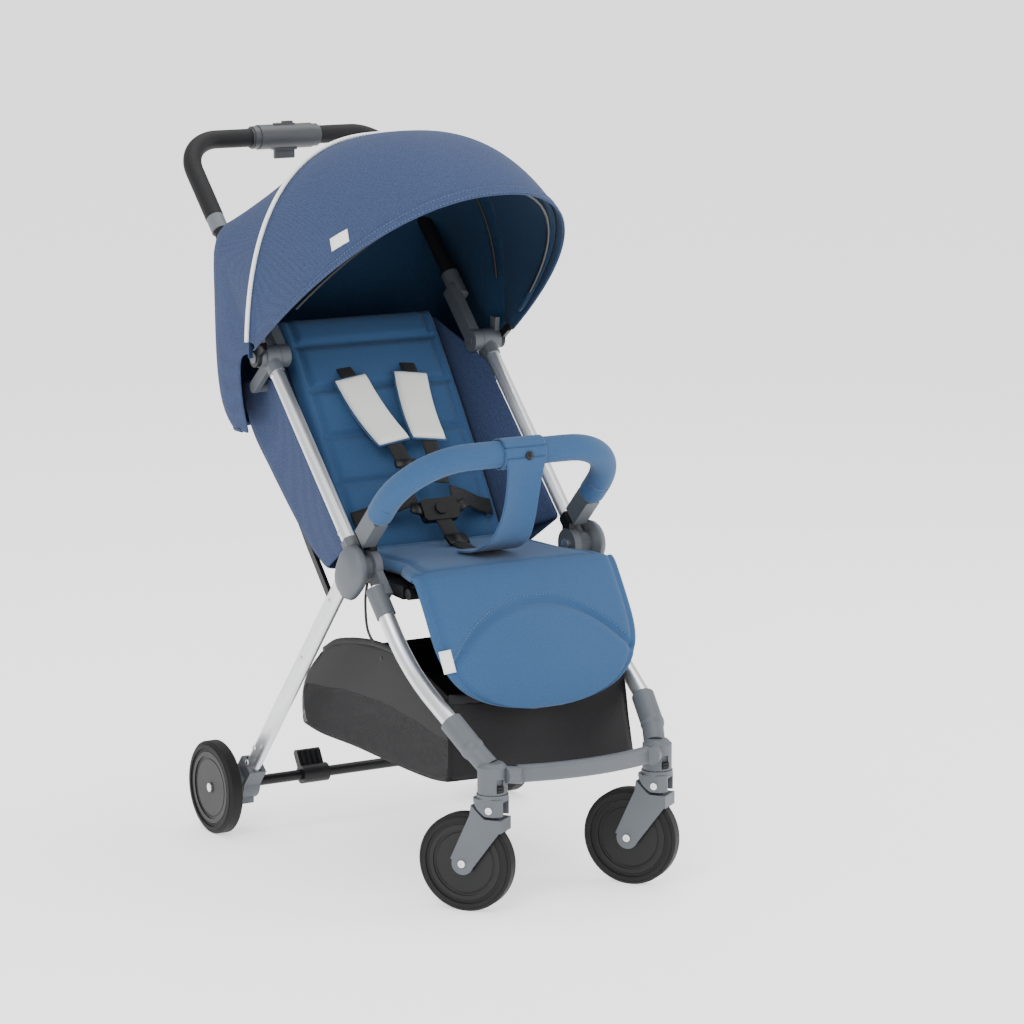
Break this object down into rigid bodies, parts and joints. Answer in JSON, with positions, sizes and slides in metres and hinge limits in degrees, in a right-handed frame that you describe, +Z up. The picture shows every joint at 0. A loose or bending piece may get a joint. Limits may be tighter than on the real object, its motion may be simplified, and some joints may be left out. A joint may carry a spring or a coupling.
{
  "type": "baby stroller",
  "caption": "Compact folding travel stroller with a round canopy, bumper bar, calf rest and mesh basket on small wheels.",
  "frame": {"origin": "on the floor at the middle of the overall box", "axes": "+Z up, the child faces -Y, the child's right is -X"},
  "size_m": [0.53, 0.8977, 1.0477],
  "materials": {
    "silver": "satin",
    "grey_plastic": "satin",
    "black_plastic": "satin",
    "module_plastic": "satin",
    "foam": "matte",
    "tyre_rubber": "matte",
    "wheel_disc": "satin",
    "steel": "brushed",
    "black_metal": "satin",
    "seat_fabric": "woven",
    "canopy_fabric": "woven",
    "basket_fabric": "woven",
    "black_web": "woven",
    "pad_fabric": "woven"
  },
  "bodies": {
    "frame": {"front_tubes": "silver", "footrest_bar": "grey_plastic", "caster_housings": "grey_plastic", "elbow_hubs": "grey_plastic", "elbow_pins": "steel", "bumper_mounts": "black_plastic", "seat_frame": "black_metal", "seat_pad": "seat_fabric", "basket": "basket_fabric", "crotch_strap": "black_web", "buckle": "black_plastic"},
    "buckle_button": {"buckle_button": "black_plastic"},
    "rear_legs": {"rear_legs": "silver", "elbow_covers": "grey_plastic", "axle_housings": "grey_plastic", "rear_axle_tube": "black_metal", "rear_axle_pins": "steel"},
    "brake_pedal": {"brake_pedal": "black_plastic"},
    "upper_frame": {"upper_tubes": "silver", "upper_sockets": "grey_plastic", "upper_joints": "grey_plastic", "side_wings": "canopy_fabric"},
    "side_stays": {"side_stays": "black_metal"},
    "handle_frame": {"handle_bar": "foam", "handle_collars": "grey_plastic", "handle_sockets": "grey_plastic", "handle_module": "module_plastic", "canopy_clamps": "grey_plastic", "canopy_rear_bow": "black_metal", "canopy_rear_panel": "canopy_fabric"},
    "handle_trigger": {"handle_trigger": "module_plastic"},
    "handle_button": {"handle_button": "module_plastic"},
    "canopy_front": {"canopy_front_bow": "black_metal", "canopy_front_panel": "canopy_fabric"},
    "backrest": {"backrest_board": "black_plastic", "backrest_pad": "seat_fabric", "shoulder_pads": "pad_fabric", "harness_straps": "black_web"},
    "calf_rest": {"calf_rest": "seat_fabric"},
    "bumper": {"bumper_bar": "seat_fabric", "bumper_ends": "grey_plastic", "bumper_strap": "seat_fabric"},
    "swivel_lock_right": {"swivel_lock_right": "black_plastic"},
    "caster_right": {"swivel_collar_right": "grey_plastic", "suspension_pin_right": "steel"},
    "fork_right": {"fork_right": "grey_plastic", "front_bolt_right": "steel"},
    "front_wheel_right": {"front_tyre_right": "tyre_rubber", "front_disc_right": "wheel_disc"},
    "rear_wheel_right": {"rear_tyre_right": "tyre_rubber", "rear_disc_right": "wheel_disc"},
    "swivel_lock_left": {"swivel_lock_left": "black_plastic"},
    "caster_left": {"swivel_collar_left": "grey_plastic", "suspension_pin_left": "steel"},
    "fork_left": {"fork_left": "grey_plastic", "front_bolt_left": "steel"},
    "front_wheel_left": {"front_tyre_left": "tyre_rubber", "front_disc_left": "wheel_disc"},
    "rear_wheel_left": {"rear_tyre_left": "tyre_rubber", "rear_disc_left": "wheel_disc"}
  },
  "joints": [
    {"name": "fold", "type": "hinge", "parent": "frame", "child": "upper_frame", "pos_m": [0, -0.127, 0.448], "axis": [-1, 0, 0], "range_deg": [0, 130], "deforming": ["canopy_rear_bow", "canopy_rear_panel", "canopy_front_bow", "canopy_front_panel", "side_wings", "basket"]},
    {"name": "rear_leg_fold", "type": "hinge", "parent": "frame", "child": "rear_legs", "pos_m": [0, -0.127, 0.448], "axis": [-1, 0, 0], "range_deg": [0, 60]},
    {"name": "handle_fold", "type": "hinge", "parent": "upper_frame", "child": "handle_frame", "pos_m": [0, 0.138, 0.72], "axis": [1, 0, 0], "range_deg": [0, 160]},
    {"name": "side_stay_turn", "type": "hinge", "parent": "upper_frame", "child": "side_stays", "pos_m": [0, 0.1984, 0.6675], "axis": [-1, 0, 0], "range_deg": [0, 11]},
    {"name": "canopy_fold", "type": "hinge", "parent": "handle_frame", "child": "canopy_front", "pos_m": [0, 0.138, 0.72], "axis": [-1, 0, 0], "range_deg": [0, 43], "deforming": ["canopy_front_panel"]},
    {"name": "backrest_recline", "type": "hinge", "parent": "upper_frame", "child": "backrest", "pos_m": [0, 0, 0.446], "axis": [1, 0, 0], "range_deg": [-30, 0], "deforming": ["side_wings"]},
    {"name": "calf_rest_raise", "type": "hinge", "parent": "frame", "child": "calf_rest", "pos_m": [0, -0.232, 0.436], "axis": [-1, 0, 0], "range_deg": [0, 60]},
    {"name": "bumper_pull", "type": "slide", "parent": "frame", "child": "bumper", "axis": [0, -0.7071, 0.7071], "range_m": [0, 0.09]},
    {"name": "brake_press", "type": "hinge", "parent": "rear_legs", "child": "brake_pedal", "pos_m": [-0.086, 0.196, 0.07], "axis": [-1, 0, 0], "range_deg": [0, 25]},
    {"name": "trigger_squeeze", "type": "slide", "parent": "handle_frame", "child": "handle_trigger", "axis": [0, 0, 1], "range_m": [0, 0.0024], "stiffness_N_per_m": 800, "springref_m": -0.003},
    {"name": "fold_lock_slide", "type": "slide", "parent": "handle_frame", "child": "handle_button", "axis": [-1, 0, 0], "range_m": [0, 0.004], "stiffness_N_per_m": 400, "springref_m": -0.003},
    {"name": "buckle_press", "type": "slide", "parent": "frame", "child": "buckle_button", "axis": [0, 0.829, -0.5592], "range_m": [0, 0.0025], "stiffness_N_per_m": 600, "springref_m": -0.002},
    {"name": "swivel_lock_right", "type": "slide", "parent": "frame", "child": "swivel_lock_right", "axis": [0, 0, 1], "range_m": [0, 0.008]},
    {"name": "swivel_right", "type": "hinge", "parent": "frame", "child": "caster_right", "pos_m": [-0.137, -0.406, 0.171], "axis": [0, 0, 1], "continuous": true},
    {"name": "suspension_right", "type": "hinge", "parent": "caster_right", "child": "fork_right", "pos_m": [-0.13471, -0.40928, 0.15], "axis": [0.8192, 0.5736, 0], "range_deg": [0, 7], "stiffness_Nm_per_rad": 40, "springref_deg": -5.73},
    {"name": "front_spin_right", "type": "hinge", "parent": "fork_right", "child": "front_wheel_right", "pos_m": [-0.1588, -0.37487, 0.07], "axis": [0.8192, 0.5736, 0], "continuous": true},
    {"name": "rear_spin_right", "type": "hinge", "parent": "rear_legs", "child": "rear_wheel_right", "pos_m": [-0.253, 0.196, 0.07], "axis": [1, 0, 0], "continuous": true},
    {"name": "swivel_lock_left", "type": "slide", "parent": "frame", "child": "swivel_lock_left", "axis": [0, 0, 1], "range_m": [0, 0.008]},
    {"name": "swivel_left", "type": "hinge", "parent": "frame", "child": "caster_left", "pos_m": [0.137, -0.406, 0.171], "axis": [0, 0, 1], "continuous": true},
    {"name": "suspension_left", "type": "hinge", "parent": "caster_left", "child": "fork_left", "pos_m": [0.13929, -0.40928, 0.15], "axis": [0.8192, 0.5736, 0], "range_deg": [0, 7], "stiffness_Nm_per_rad": 40, "springref_deg": -5.73},
    {"name": "front_spin_left", "type": "hinge", "parent": "fork_left", "child": "front_wheel_left", "pos_m": [0.1152, -0.37487, 0.07], "axis": [0.8192, 0.5736, 0], "continuous": true},
    {"name": "rear_spin_left", "type": "hinge", "parent": "rear_legs", "child": "rear_wheel_left", "pos_m": [0.253, 0.196, 0.07], "axis": [1, 0, 0], "continuous": true}
  ],
  "couplings": [
    {"joint": "rear_leg_fold", "follows": "fold", "ratio": 0.46154},
    {"joint": "handle_fold", "follows": "fold", "ratio": 1.2308},
    {"joint": "side_stay_turn", "follows": "fold", "ratio": 0.084615}
  ]
}
